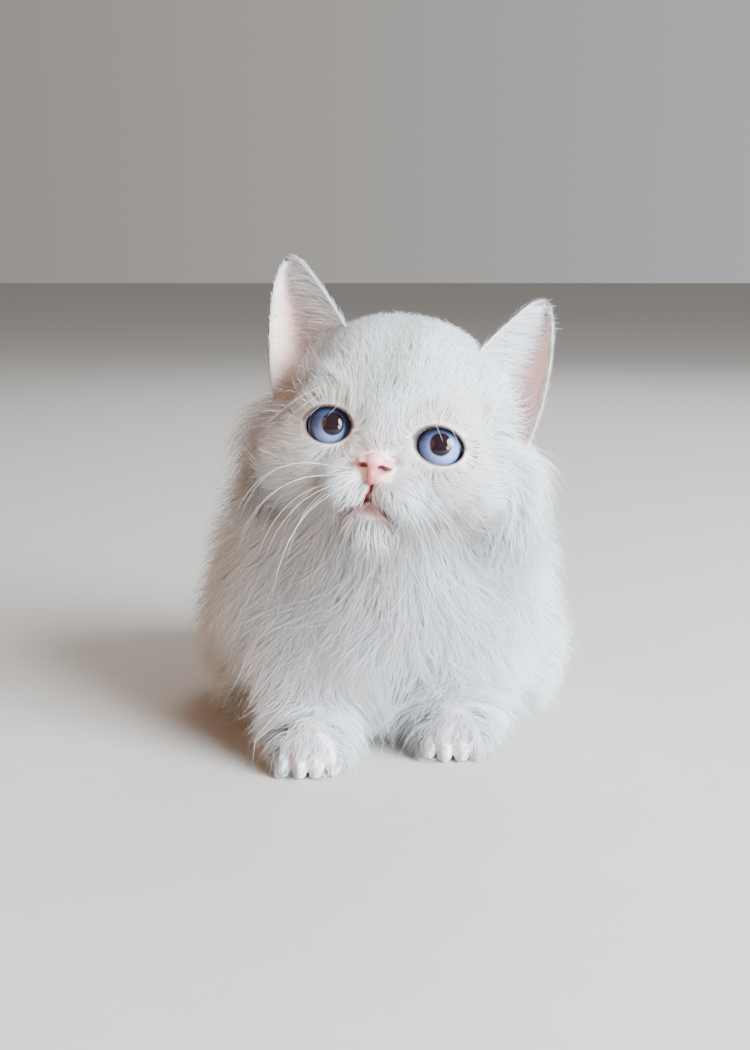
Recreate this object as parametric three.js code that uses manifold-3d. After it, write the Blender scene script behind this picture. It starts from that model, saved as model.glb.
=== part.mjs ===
// A sitting long-haired kitten at life size, about eight weeks old.
// Millimetres, +Z up. It faces -Y, its own left is +X, and the floor is the plane z = 0.
import * as THREE from 'three';
import { mergeVertices } from 'three/addons/utils/BufferGeometryUtils.js';
import Module from 'manifold-3d';

const wasm = await Module();
wasm.setup();

const V = (x, y, z) => new THREE.Vector3(x, y, z);
const degrees = (angle) => (angle * Math.PI) / 180;

// Fit
const GAP = 0.3;
const FLOOR_CLEARANCE = 0.5;
const SHORTEST_EDGE = 0.03;
const WELD = 0.002;
const TOLERANCE = 0.01;

// Head, in its own frame: the origin lies midway between the eyes, x to the kitten's left,
// y back into the skull, z to the crown.
const HEAD_AT = V(0, -56, 113);
const HEAD_TURN = new THREE.Euler(degrees(-13), degrees(9.8), degrees(-8), 'ZXY');
const EYE_HALF_SPACING = 17.7;
const EYE_RADIUS = 8;
const EYE_DEPTH = 8.2;
const EYE_OPENING = V(7.3, 6, 5.9);
const EYE_SLANT = degrees(4.5);
const NOSE_AT = V(0, -5.4, -9.8);

// Ears, in the head's frame
const EAR_INNER_ROOT = V(21, 22, 32);
const EAR_OUTER_ROOT = V(44, 30, 8);
const RIGHT_EAR_TIP = V(-48.2, 26, 54.2);
const LEFT_EAR_TIP = V(40.8, 26.6, 54.4);
const EAR_THICKNESS = 1.7;
const EAR_CUP = 0.42;
const EAR_ROUND = 10;

// Body, in the kitten's frame
const HAUNCH_X = 38;
const HIND_FOOT_X = 36;
const SHOULDER_X = 24;
const RIGHT_PAW = V(-24.5, -49, 0);
const LEFT_PAW = V(24, -34, 0);
const PAW_HALF_WIDTH = 11.5;
const NECK_PLANE_AT = V(0, -30, 57);
const NECK_PLANE_UP = V(0, -0.45, 0.89).normalize();
const TAIL_PATH = [V(0, 56, 15), V(1, 72, 10), V(9, 86, 8), V(23, 94, 7), V(40, 94, 6.5)];
const TAIL_SPLIT = 0.52;
const TAIL_RADIUS = 9;

// Coat: locks lie over a core, and their tips reach this far above it.
const COAT_TIP = 12;
const LOCK_SINK = 3;
const WHOLE_ENOUGH = 0.7;
const LOCK_STEPS = 3;
const LOCK_SIDES = 3;
const CUTTER_MARGIN = 0.66;
const TIP_MARGINS = 4;
const EDGE_MARGINS = 5;

// Materials
const finish = (color, roughness) =>
  new THREE.MeshStandardMaterial({ color, roughness, metalness: 0 });
const COAT = finish('#f1ede9', 0.85);
const FACE = finish('#f4efeb', 0.8);
const EAR_SKIN = finish('#eec9c2', 0.7);
const IRIS = finish('#8fa3cf', 0.12);
const LEATHER = finish('#d99a94', 0.5);

// A repeatable random draw between two numbers
let seed = 20177;
function draw(low, high) {
  seed = (seed * 1664525 + 1013904223) % 4294967296;
  return low + ((high - low) * seed) / 4294967296;
}

// Shapes as distance functions, negative inside
function ellipsoid(at, radii) {
  const scaled = V(0, 0, 0);
  return (p) => {
    scaled.copy(p).sub(at).divide(radii);
    const reach = scaled.length();
    return (reach * (reach - 1)) / Math.max(scaled.divide(radii).length(), 1e-6);
  };
}

function limb(from, to, startRadius, endRadius) {
  const axis = to.clone().sub(from);
  return (p) => {
    const along = THREE.MathUtils.clamp(p.clone().sub(from).dot(axis) / axis.lengthSq(), 0, 1);
    const nearest = from.clone().addScaledVector(axis, along);
    return p.distanceTo(nearest) - THREE.MathUtils.lerp(startRadius, endRadius, along);
  };
}

function smoothMin(a, b, softness) {
  const overlap = Math.max(softness - Math.abs(a - b), 0) / softness;
  return Math.min(a, b) - (overlap * overlap * softness) / 4;
}

const blend = (softness, fields) => (p) =>
  fields.map((field) => field(p)).reduce((a, b) => smoothMin(a, b, softness));

const headMatrix = new THREE.Matrix4().compose(
  HEAD_AT, new THREE.Quaternion().setFromEuler(HEAD_TURN), V(1, 1, 1));
const headInverse = headMatrix.clone().invert();
const onHead = (x, y, z) => V(x, y, z).applyMatrix4(headMatrix);
const inHead = (field) => (p) => field(p.clone().applyMatrix4(headInverse));

const pair = (make) => [make(-1), make(1)];

// The body's forms
const skullForm = inHead(blend(9, [
  ellipsoid(V(0, 31, 6), V(40, 34, 37.5)),
  ...pair((side) => ellipsoid(V(side * 24.5, 28, -10), V(25, 25, 20))),
  ellipsoid(V(0, 24, -14), V(22, 24, 15)),
  limb(V(0, 9, 10), V(0, 1.5, -8.5), 8, 6.2),
  ...pair((side) => ellipsoid(V(side * EYE_HALF_SPACING, 10.2, 0), V(11, 9, 14))),
]));
const muzzleForm = inHead(blend(1.5, [
  ...pair((side) => ellipsoid(V(side * 6.2, 1.5, -15.2), V(8, 8.6, 6.3))),
  ellipsoid(V(0, 5, -23), V(7.4, 8, 6.6)),
]));
const headForm = blend(5, [skullForm, muzzleForm]);

const trunkForm = blend(14, [
  limb(V(0, -14, 92), V(0, -12, 66), 30, 38),
  ellipsoid(V(0, -12, 52), V(38, 32, 40)),
  ...pair((side) => ellipsoid(V(side * SHOULDER_X, -4, 60), V(29, 28, 33))),
  ellipsoid(V(0, 22, 46), V(46, 42, 44)),
  ellipsoid(V(0, 40, 32), V(44, 28, 34)),
]);

const haunchForm = (side) => blend(8, [
  ellipsoid(V(side * HAUNCH_X, 20, 26), V(22, 31, 29)),
  ellipsoid(V(side * (HAUNCH_X - 4), 34, 18), V(22, 26, 20)),
]);

const hindFootForm = (side) => blend(3, [
  limb(V(side * HIND_FOOT_X, 32, 6), V(side * HIND_FOOT_X, -4, 5), 8, 8),
  ...[-1.5, -0.5, 0.5, 1.5].map((step) =>
    ellipsoid(V(side * HIND_FOOT_X + step * 4.4, -10 + Math.abs(step) * 1.6, 3.6), V(3.1, 5, 4))),
]);

const pawAt = (side) => (side < 0 ? RIGHT_PAW : LEFT_PAW);

const foreLegForm = (side) => {
  const paw = pawAt(side);
  return limb(V(paw.x, paw.y + 26, 44), V(paw.x, paw.y + 8, 10), 17, 11);
};

const forePawForm = (side) => {
  const paw = pawAt(side);
  return blend(2, [
    ellipsoid(V(paw.x, paw.y, 7), V(PAW_HALF_WIDTH, 12, 8.5)),
    ...[-1.5, -0.5, 0.5, 1.5].map((step) =>
      ellipsoid(V(paw.x + step * 5.6, paw.y - 8.6 + Math.abs(step) * 2, 4.4), V(3.2, 5, 4.6))),
  ]);
};

const tailCurve = new THREE.CatmullRomCurve3(TAIL_PATH);

function tailForm(from, to) {
  const steps = 5;
  const points = [...Array(steps + 1).keys()].map((k) => from + ((to - from) * k) / steps);
  const radius = (t) => TAIL_RADIUS * (1 - 0.35 * t * t);
  return blend(2, points.slice(1).map((t, k) =>
    limb(tailCurve.getPoint(points[k]), tailCurve.getPoint(t), radius(points[k]), radius(t))));
}

// Meshes of the forms
function bare(geometry) {
  const stripped = geometry.clone();
  stripped.deleteAttribute('normal');
  stripped.deleteAttribute('uv');
  return mergeVertices(stripped);
}

function solid(geometry) {
  return weld(bare(geometry));
}

function weld(geometry) {
  const welded = mergeVertices(geometry, WELD);
  return new wasm.Manifold(new wasm.Mesh({
    numProp: 3,
    vertProperties: new Float32Array(welded.attributes.position.array),
    triVerts: new Uint32Array(welded.index.array),
  }));
}

function eachVertex(geometry, move) {
  const positions = geometry.attributes.position;
  const vertex = V(0, 0, 0);
  for (let i = 0; i < positions.count; i += 1) {
    vertex.fromBufferAttribute(positions, i);
    const moved = move(vertex);
    positions.setXYZ(i, moved.x, moved.y, moved.z);
  }
  return geometry;
}

// The point where a ray from a form's middle leaves it
function exit(form, middle, direction, level = 0) {
  const stride = 1.5;
  const at = (reach) => form(middle.clone().addScaledVector(direction, reach)) - level;
  let outer = stride;
  while (at(outer) < 0) outer += stride;
  let inner = outer - stride;
  for (let halving = 0; halving < 18; halving += 1) {
    const half = (inner + outer) / 2;
    if (at(half) < 0) inner = half;
    else outer = half;
  }
  return middle.clone().addScaledVector(direction, inner);
}

// A ball whose vertices slide out to the form's surface, set closer together towards the focus
function skin(form, middle, detail, level = 0, focus = V(0, 0, 0)) {
  return eachVertex(bare(new THREE.IcosahedronGeometry(1, detail)), (vertex) =>
    exit(form, middle, vertex.clone().add(focus).normalize(), level));
}

function ball(at, radii, detail, matrix = new THREE.Matrix4()) {
  return new THREE.IcosahedronGeometry(1, detail)
    .scale(radii.x, radii.y, radii.z)
    .applyMatrix4(matrix)
    .translate(at.x, at.y, at.z);
}

const inHeadFrame = (geometry) => solid(geometry.applyMatrix4(headMatrix));
const grown = (radii) => radii.clone().addScalar(2 * GAP);
const union = (pieces) => wasm.Manifold.union(pieces);

function largest(body) {
  const pieces = body.decompose();
  return pieces.reduce((a, b) => (a.volume() > b.volume() ? a : b));
}

function surfaceOf(body) {
  const { vertProperties, triVerts } = body.getMesh();
  const geometry = new THREE.BufferGeometry();
  geometry.setAttribute('position', new THREE.BufferAttribute(vertProperties, 3));
  geometry.setIndex(new THREE.BufferAttribute(triVerts, 1));
  return geometry;
}

// Draws together the ends of the very short edges that cuts leave, where the surface stays closed
function withoutShortEdges(geometry) {
  const positions = geometry.attributes.position;
  let corners = Array.from(geometry.index.array);
  const point = (i) => V(positions.getX(i), positions.getY(i), positions.getZ(i));
  let drawn = 1;
  while (drawn > 0) {
    const neighbours = new Map();
    const meet = (a, b) => neighbours.set(a, (neighbours.get(a) ?? new Set()).add(b));
    const edges = [];
    corners.forEach((a, k) => {
      const b = corners[k % 3 === 2 ? k - 2 : k + 1];
      meet(a, b);
      meet(b, a);
      if (a < b && point(a).distanceTo(point(b)) < SHORTEST_EDGE) edges.push([a, b]);
    });
    const settled = new Set();
    const replaced = new Map();
    for (const [a, b] of edges) {
      const [ringA, ringB] = [neighbours.get(a), neighbours.get(b)];
      const shared = [...ringA].filter((n) => ringB.has(n));
      const ring = [a, b, ...ringA, ...ringB];
      const sound = shared.length === 2 && ringA.size > 3 && ringB.size > 3;
      if (sound && !ring.some((n) => settled.has(n))) {
        replaced.set(b, a);
        ring.forEach((n) => settled.add(n));
      }
    }
    drawn = replaced.size;
    const moved = corners.map((n) => replaced.get(n) ?? n);
    corners = moved.filter((n, k) => {
      const first = k - (k % 3);
      return new Set(moved.slice(first, first + 3)).size === 3;
    });
  }
  return partTouching(geometry.clone().setIndex(corners));
}

// Draws vertices that coincide without being one a little towards their own neighbours
function partTouching(geometry) {
  const positions = geometry.attributes.position;
  const corners = geometry.index.array;
  const point = (i) => V(positions.getX(i), positions.getY(i), positions.getZ(i));
  const middles = new Map();
  const places = new Map();
  corners.forEach((a, k) => {
    const next = point(corners[k % 3 === 2 ? k - 2 : k + 1]);
    const { sum, count } = middles.get(a) ?? { sum: V(0, 0, 0), count: 0 };
    middles.set(a, { sum: sum.add(next), count: count + 1 });
    const place = point(a).toArray().map((n) => Math.round(n / WELD)).join(' ');
    places.set(place, (places.get(place) ?? new Set()).add(a));
  });
  for (const touching of [...places.values()].filter((set) => set.size > 1)) {
    for (const i of touching) {
      const { sum, count } = middles.get(i);
      const at = point(i);
      at.addScaledVector(sum.divideScalar(count).sub(at).normalize(), SHORTEST_EDGE);
      positions.setXYZ(i, at.x, at.y, at.z);
    }
  }
  return geometry;
}

const floorBlock = solid(new THREE.BoxGeometry(600, 600, 100).translate(0, 0, -50));

// The coat's own height above the cores of all nodes
const wholeForm = blend(4, [
  headForm, trunkForm,
  ...pair(haunchForm), ...pair(foreLegForm), ...pair(forePawForm), ...pair(hindFootForm),
  tailForm(0, 1),
]);

function slope(form, p) {
  const step = 0.5;
  return V(
    form(V(p.x + step, p.y, p.z)) - form(V(p.x - step, p.y, p.z)),
    form(V(p.x, p.y + step, p.z)) - form(V(p.x, p.y - step, p.z)),
    form(V(p.x, p.y, p.z + step)) - form(V(p.x, p.y, p.z - step)),
  ).normalize();
}

const alongSurface = (direction, normal) =>
  direction.clone().addScaledVector(normal, -direction.dot(normal)).normalize();

// The middle line of a lock: it leaves the core at its root, follows the lie and rises to its tip.
function lockLine(root, lie, size) {
  const stations = [];
  const stride = size.length / LOCK_STEPS;
  const swerve = draw(-0.35, 0.35);
  let place = root.clone();
  for (let k = 0; k <= LOCK_STEPS; k += 1) {
    const share = k / LOCK_STEPS;
    const normal = slope(wholeForm, place);
    const across = V(0, 0, 0).crossVectors(lie(place), normal);
    const heading = alongSurface(lie(place).addScaledVector(across, swerve * share), normal);
    const rise = 0.5 * share + 0.5 * Math.sin((share * Math.PI) / 2);
    const height = -LOCK_SINK + (LOCK_SINK + size.lift) * rise;
    place.addScaledVector(normal, height - wholeForm(place));
    const thickness = size.thickness * (share < 1 ? 1 - 0.45 * share : 0.2);
    place.z = Math.max(place.z, FLOOR_CLEARANCE + thickness);
    stations.push({ place: place.clone(), normal, heading, thickness });
    place = place.clone().addScaledVector(heading, stride);
  }
  return stations;
}

// A flat tapered lock along its middle line, made larger all round by the margin
function lockSolid(stations, width, margin) {
  const cone = bare(new THREE.ConeGeometry(1, 1, LOCK_SIDES, LOCK_STEPS));
  const swell = (share) => 0.75 + 0.9 * share - 1.35 * share * share;
  const run = (from, to) => stations[to].place.clone().sub(stations[from].place).normalize();
  const longer = [run(1, 0).multiplyScalar(margin), ...Array(LOCK_STEPS - 1).fill(V(0, 0, 0)),
    run(LOCK_STEPS - 1, LOCK_STEPS).multiplyScalar(TIP_MARGINS * margin)];
  return solid(eachVertex(cone, (vertex) => {
    const share = vertex.y + 0.5;
    const step = Math.round(share * LOCK_STEPS);
    const { place, normal, heading, thickness } = stations[step];
    const across = V(0, 0, 0).crossVectors(heading, normal).normalize();
    const reach = Math.max(1 - share, 1e-6);
    const aside = (vertex.x / reach) * ((width / 2) * swell(share) + EDGE_MARGINS * margin);
    const above = (vertex.z / reach) * (thickness / 2) + Math.sign(vertex.z) * margin;
    const ring = share < 1 ? 1 : 0;
    return place.clone()
      .addScaledVector(across, aside * ring)
      .addScaledVector(normal, above * ring)
      .add(longer[step]);
  }));
}

// Directions spread evenly over a ball
function spread(count) {
  const golden = Math.PI * (3 - Math.sqrt(5));
  return [...Array(count).keys()].map((k) => {
    const up = 1 - (2 * k + 1) / count;
    const flat = Math.sqrt(1 - up * up);
    return V(flat * Math.cos(golden * k), flat * Math.sin(golden * k), up);
  });
}

// Locks over a form, rooted a spacing apart wherever its own surface shows
function coat(form, middle, others, accept, lie, sizeAt) {
  const taken = union(cutters);
  const roots = [];
  const locks = [];
  for (const direction of spread(1400)) {
    const root = exit(form, middle, direction);
    const size = sizeAt(root);
    const free = others.every((other) => other(root) > size.clearance);
    const heading = alongSurface(lie(root), slope(form, root));
    const apart = roots.every((earlier) => {
      const offset = root.clone().sub(earlier);
      const along = Math.abs(offset.dot(heading));
      return along > size.row || Math.sqrt(offset.lengthSq() - along * along) > size.width * 0.92;
    });
    if (free && apart && accept(root)) {
      const varied = { ...size, length: size.length * draw(0.88, 1.12), lift: size.lift * draw(0.8, 1.1) };
      const stations = lockLine(root, lie, varied);
      const width = size.width * draw(0.9, 1.1);
      const body = lockSolid(stations, width, 0);
      const left = body.subtract(taken);
      if (left.volume() > WHOLE_ENOUGH * body.volume() && left.decompose().length === 1) {
        roots.push(root);
        locks.push({ body, cutter: lockSolid(stations, width, CUTTER_MARGIN) });
      }
    }
  }
  return locks;
}

// Lie of the coat at a point
const bodyLie = (p) => V(p.x * 0.006, 0.5 * THREE.MathUtils.smoothstep(p.y, -40, 10), -1);
const legLie = (p) => V(0, -0.25, -1);
function headLie(p) {
  const local = p.clone().applyMatrix4(headInverse);
  const away = local.sub(V(0, -14, -6)).normalize().transformDirection(headMatrix);
  return away.add(V(0, 0, -0.55));
}
function tailLie(p) {
  const steps = 24;
  let nearest = 0;
  for (let k = 1; k <= steps; k += 1) {
    const closer = tailCurve.getPoint(k / steps).distanceTo(p) < tailCurve.getPoint(nearest / steps).distanceTo(p);
    if (closer) nearest = k;
  }
  return tailCurve.getTangent(nearest / steps);
}

// Sizes of the locks
const LONG = { length: 34, width: 18, thickness: 2.6, lift: COAT_TIP, row: 13, clearance: 1 };
const CHEEK = { length: 27, width: 15.5, thickness: 2.4, lift: COAT_TIP, row: 11, clearance: 1 };
const LEG = { length: 24, width: 13, thickness: 2.2, lift: 9, row: 10, clearance: 1 };
const TAIL = { length: 24, width: 13, thickness: 2, lift: 7, row: 9, clearance: 1 };

// Nodes
const nodes = [];

function mesh(name, body, material) {
  const made = new THREE.Mesh(surfaceOf(body), material);
  made.name = name;
  return made;
}

// Each node gives way to the ones made before it, and all stand on the floor.
const cutters = [floorBlock];
function addNode(name, material, pieces, clearances) {
  const cut = largest(union(pieces).subtract(union(cutters)).simplify(TOLERANCE));
  nodes.push(mesh(name, largest(weld(withoutShortEdges(surfaceOf(cut)))), material));
  cutters.push(...clearances);
}

const sideName = (side) => (side < 0 ? 'right' : 'left');

function eye(side) {
  const at = V(side * EYE_HALF_SPACING, EYE_DEPTH, 0);
  const round = V(EYE_RADIUS, EYE_RADIUS, EYE_RADIUS);
  addNode(`eye_${sideName(side)}`, IRIS,
    [inHeadFrame(ball(at, round, 3))], [inHeadFrame(ball(at, grown(round), 2))]);
}

function nosePieces(margin) {
  const piece = (at, radii) => inHeadFrame(ball(at, radii.clone().addScalar(margin), 1));
  return [
    piece(NOSE_AT, V(4.8, 3.6, 3.8)),
    piece(V(0, NOSE_AT.y + 0.4, NOSE_AT.z - 3.2), V(1.8, 2.8, 2.8)),
    ...pair((side) => piece(V(side * 3.5, NOSE_AT.y + 0.5, NOSE_AT.z - 0.3), V(2.8, 3.1, 2.7))),
  ];
}

function nose() {
  const nostrils = pair((side) =>
    inHeadFrame(ball(V(side * 3.1, NOSE_AT.y - 3.1, NOSE_AT.z - 0.6), V(1.3, 2, 0.9), 1)));
  const body = union(nosePieces(0)).subtract(union(nostrils));
  addNode('nose', LEATHER, [body], nosePieces(GAP));
}

// An ear is a cupped leaf between two edges that run from its root to its tip.
function earShell(side, thickness) {
  const rows = 6;
  const columns = 6;
  const root = (edge) => V(side * edge.x, edge.y, edge.z);
  const tip = side < 0 ? RIGHT_EAR_TIP : LEFT_EAR_TIP;
  const wide = root(EAR_OUTER_ROOT).sub(root(EAR_INNER_ROOT)).normalize();
  const edge = (foot, bow, outward, share) => {
    const round = EAR_ROUND * Math.max(share, 0) ** 4 * Math.sqrt(Math.max(1 - share, 0));
    return root(foot).lerp(tip, share)
      .add(V(side * bow.x, bow.y, bow.z).multiplyScalar(4 * share * (1 - share)))
      .addScaledVector(wide, outward * round);
  };
  const leaf = (share, across) => {
    const inner = edge(EAR_INNER_ROOT, V(-1, 0, 2.2), -1, share);
    const outer = edge(EAR_OUTER_ROOT, V(3.4, 0, 0.5), 1, share);
    const bulge = inner.distanceTo(outer) * EAR_CUP * 4 * across * (1 - across);
    return inner.lerp(outer, across).add(V(-side * 0.25, 1, 0.1).multiplyScalar(bulge));
  };
  const skinPoint = (share, across, half) => {
    const step = 0.01;
    const up = leaf(share + step, across).sub(leaf(share - step, across));
    const over = leaf(share, across + step).sub(leaf(share, across - step));
    return leaf(share, across).addScaledVector(up.cross(over).normalize(), -half);
  };
  const sheet = bare(new THREE.BoxGeometry(1, 1, 1, columns, rows, 1));
  return inHeadFrame(eachVertex(sheet, (vertex) => {
    const share = 1.07 * (vertex.y + 0.5) - 0.1;
    const slim = 1 - 0.5 * Math.max(share, 0);
    return skinPoint(share, vertex.x + 0.5, vertex.z * thickness * slim);
  }));
}

function ear(side) {
  const body = earShell(side, EAR_THICKNESS).subtract(headClearance);
  addNode(`ear_${sideName(side)}`, EAR_SKIN, [body], [earShell(side, EAR_THICKNESS + 2 * GAP)]);
}

const HEAD_MIDDLE = onHead(0, 30, -1);
const HEAD_DETAIL = 7;
const TRUNK_DETAIL = 4;
const FACE_FOCUS = V(0, -0.45, -0.05).applyEuler(HEAD_TURN);
const headClearance = solid(skin(headForm, HEAD_MIDDLE, HEAD_DETAIL, GAP, FACE_FOCUS));

function muzzleSolids() {
  return [
    ...pair((side) => inHeadFrame(ball(V(side * 6.2, 1.5, -15.2), V(8, 8.6, 6.3), 2))),
    inHeadFrame(ball(V(0, 5, -23), V(7.4, 8, 6.6), 2)),
  ];
}

function eyeOpening(side) {
  const slant = new THREE.Matrix4().makeRotationY(-side * EYE_SLANT);
  return inHeadFrame(ball(V(side * (EYE_HALF_SPACING + 0.3), 0.5, 0), EYE_OPENING, 2, slant));
}

// The mouth runs out and down from under the nose on both sides.
function mouthLine(side) {
  const line = new THREE.TorusGeometry(6, 0.6, 3, 12)
    .rotateX(Math.PI / 2)
    .rotateX(degrees(12))
    .translate(side * 5.2, -0.5, -19.8);
  return inHeadFrame(line);
}

function head() {
  const accept = (root) => {
    const local = root.clone().applyMatrix4(headInverse);
    const face = Math.hypot(local.x / 30, (local.z + 2) / 30);
    const onFace = local.y < 18 && face < 1;
    const crown = local.z > 16;
    const ears = Math.abs(local.x) > 14 && local.z > 2 && local.y > 8 && local.y < 42;
    return !onFace && !crown && !ears && local.y > 4;
  };
  const locks = coat(headForm, HEAD_MIDDLE, [trunkForm], accept, headLie, () => CHEEK);
  const core = union([
    solid(skin(headForm, HEAD_MIDDLE, HEAD_DETAIL, 0, FACE_FOCUS)),
    ...muzzleSolids(),
  ]).subtract(union([...pair(eyeOpening), ...pair(mouthLine)]));
  addNode('head', FACE, [core, ...locks.map((lock) => lock.body)],
    [headClearance, ...muzzleSolids(), ...locks.map((lock) => lock.cutter)]);
}

function limbNode(name, form, middle, detail, lie, size, others, accept) {
  const locks = size ? coat(form, middle, others, accept, lie, () => size) : [];
  addNode(name, COAT,
    [solid(skin(form, middle, detail)), ...locks.map((lock) => lock.body)],
    [solid(skin(form, middle, detail, GAP)), ...locks.map((lock) => lock.cutter)]);
}

const aboveFloor = (height) => (root) => root.z > height;

function forePaw(side) {
  const paw = pawAt(side);
  limbNode(`forepaw_${sideName(side)}`, forePawForm(side), V(paw.x, paw.y - 2, 5), 3);
}

function hindFoot(side) {
  limbNode(`hindfoot_${sideName(side)}`, hindFootForm(side), V(side * HIND_FOOT_X, 0, 5), 2);
}

function foreLeg(side) {
  const paw = pawAt(side);
  limbNode(`foreleg_${sideName(side)}`, foreLegForm(side), V(paw.x, paw.y + 15, 24), 2,
    legLie, LEG, [trunkForm, forePawForm(side)], aboveFloor(9));
}

function haunch(side) {
  limbNode(`haunch_${sideName(side)}`, haunchForm(side), V(side * HAUNCH_X, 22, 24), 2,
    bodyLie, LONG, [trunkForm, hindFootForm(side)], aboveFloor(7));
}

function tail() {
  const tip = tailForm(TAIL_SPLIT, 1);
  const base = tailForm(0, TAIL_SPLIT);
  limbNode('tail_tip', tip, tailCurve.getPoint(0.76), 2, tailLie, TAIL, [base], aboveFloor(3));
  limbNode('tail_base', base, tailCurve.getPoint(0.28), 2, tailLie, TAIL, [trunkForm], aboveFloor(3));
}

// Neck and torso share one form, parted by a thin cut across it.
function halfSpace(at, up, offset) {
  const size = 300;
  const turn = new THREE.Quaternion().setFromUnitVectors(V(0, 0, 1), up);
  const middle = at.clone().addScaledVector(up, offset + size / 2);
  return solid(new THREE.BoxGeometry(size, size, size).applyQuaternion(turn)
    .translate(middle.x, middle.y, middle.z));
}

function trunk() {
  const middle = V(0, 8, 50);
  const aboveCut = (root) => root.clone().sub(NECK_PLANE_AT).dot(NECK_PLANE_UP);
  const others = [headForm, ...pair(haunchForm), ...pair(foreLegForm), tailForm(0, 1)];
  const neckLocks = coat(trunkForm, middle, others, (root) => aboveCut(root) > 6, bodyLie, () => LONG);
  const torsoLocks = coat(trunkForm, middle, others,
    (root) => aboveCut(root) < -4 && root.z > 9, bodyLie, () => LONG);
  const core = solid(skin(trunkForm, middle, TRUNK_DETAIL));
  const clearance = solid(skin(trunkForm, middle, TRUNK_DETAIL, GAP));
  const above = halfSpace(NECK_PLANE_AT, NECK_PLANE_UP, GAP / 2);
  const below = halfSpace(NECK_PLANE_AT, NECK_PLANE_UP.clone().negate(), GAP / 2);
  const neckCoat = union(neckLocks.map((lock) => lock.body)).subtract(clearance.intersect(below));
  addNode('neck', COAT, [core.intersect(above), neckCoat],
    [clearance.subtract(below), ...neckLocks.map((lock) => lock.cutter)]);
  addNode('torso', COAT, [core.intersect(below), ...torsoLocks.map((lock) => lock.body)], []);
}

pair(eye);
nose();
pair(ear);
head();
pair(forePaw);
pair(hindFoot);
tail();
pair(foreLeg);
pair(haunch);
trunk();

const kitten = new THREE.Group();
kitten.add(...nodes);
const box = new THREE.Box3().setFromObject(kitten);
const middle = box.getCenter(V(0, 0, 0));
kitten.position.set(-middle.x, -middle.y, -box.min.z);

export default kitten;
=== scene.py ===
"""The looks of a sitting long-haired kitten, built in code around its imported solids.

Shapes are in millimetres in the kitten's own frame (it faces -Y, its left is +X, the floor is
z = 0) until they become meshes in the row frame, in metres.
"""

import math

import bpy
import numpy as np
from mathutils import Matrix, Vector
from mathutils.kdtree import KDTree


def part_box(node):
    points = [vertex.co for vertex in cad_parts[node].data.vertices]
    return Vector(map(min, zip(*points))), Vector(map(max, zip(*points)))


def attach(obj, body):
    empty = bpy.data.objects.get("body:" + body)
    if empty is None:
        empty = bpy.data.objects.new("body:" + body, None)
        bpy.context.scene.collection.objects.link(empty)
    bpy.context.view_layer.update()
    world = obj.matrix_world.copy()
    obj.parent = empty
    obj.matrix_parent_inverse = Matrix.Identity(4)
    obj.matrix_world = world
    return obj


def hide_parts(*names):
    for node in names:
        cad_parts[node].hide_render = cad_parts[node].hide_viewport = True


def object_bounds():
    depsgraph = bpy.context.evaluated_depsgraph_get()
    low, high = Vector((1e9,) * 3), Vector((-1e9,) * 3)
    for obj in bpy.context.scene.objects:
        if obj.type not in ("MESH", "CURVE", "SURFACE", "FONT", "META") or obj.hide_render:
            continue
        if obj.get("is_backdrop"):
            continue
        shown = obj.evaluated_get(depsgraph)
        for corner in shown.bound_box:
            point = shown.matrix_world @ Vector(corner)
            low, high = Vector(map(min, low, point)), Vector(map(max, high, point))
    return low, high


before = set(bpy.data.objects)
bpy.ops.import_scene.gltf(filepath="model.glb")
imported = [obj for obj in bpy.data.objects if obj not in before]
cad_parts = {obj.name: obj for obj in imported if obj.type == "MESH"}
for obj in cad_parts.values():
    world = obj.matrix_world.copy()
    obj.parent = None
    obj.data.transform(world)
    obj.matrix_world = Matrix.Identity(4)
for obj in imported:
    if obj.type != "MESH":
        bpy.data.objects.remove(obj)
cad_low, cad_high = (np.array(corner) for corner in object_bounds())
rng = np.random.default_rng(411)


def vec(x, y, z):
    return np.array([x, y, z], np.float32)


def turn(axis, angle):
    return np.array(Matrix.Rotation(math.radians(angle), 3, axis), np.float32)


# The kitten's own right and left
SIDES = (-1, 1)

# Head frame: its origin lies midway between the eyes, y runs back into the skull
HEAD_AT = vec(0, -56, 113)
HEAD_TURN = turn("Z", -8) @ turn("X", -13) @ turn("Y", 9.8)
EYE_HALF_SPACING = 17.7
EYE_RADIUS = 8.0
EYE_DEPTH = 8.2
EYE_SLANT = 4.5
EYE_SLIT_HALF = (7.6, 5.7)
SOCKET_RADIUS = 8.05
LID_RADIUS = 9.1
NOSE_AT = vec(0, -5.4, -9.8)

# Ears
EAR_INNER_ROOT = vec(21, 22, 32)
EAR_OUTER_ROOT = vec(44, 30, 8)
EAR_TIPS = {-1: vec(-48.2, 26, 54.2), 1: vec(40.8, 26.6, 54.4)}
EAR_CUP = 0.42
EAR_ROUND = 10
EAR_SKIN_THICKNESS = 0.9
EAR_TIP_SHARE = 0.985

# Body
HAUNCH_X = 38
HIND_FOOT_X = 36
SHOULDER_X = 24
PAWS = {-1: vec(-24.5, -49, 0), 1: vec(24, -34, 0)}
PAW_HALF_WIDTH = 11.5
TOES = (-1.5, -0.5, 0.5, 1.5)
TOE_STEP = 5.4
HIND_TOE_STEP = 4.4
TAIL_PATH = np.array([(0, 56, 15), (1, 72, 10), (9, 86, 8), (23, 94, 7), (40, 94, 6.5)],
                     np.float32)
TAIL_RADIUS = 9

# Camera, as worked out from the photo
CAMERA_AT = vec(-2.5, -460, 165)
CAMERA_PITCH = 11.3
SENSOR_WIDTH = 36
FOCAL_PIXELS = 1300
LONG_SIDE_PIXELS = 1050


def to_body(local):
    return local @ HEAD_TURN.T + HEAD_AT


def to_head(p):
    return (p - HEAD_AT) @ HEAD_TURN


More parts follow.
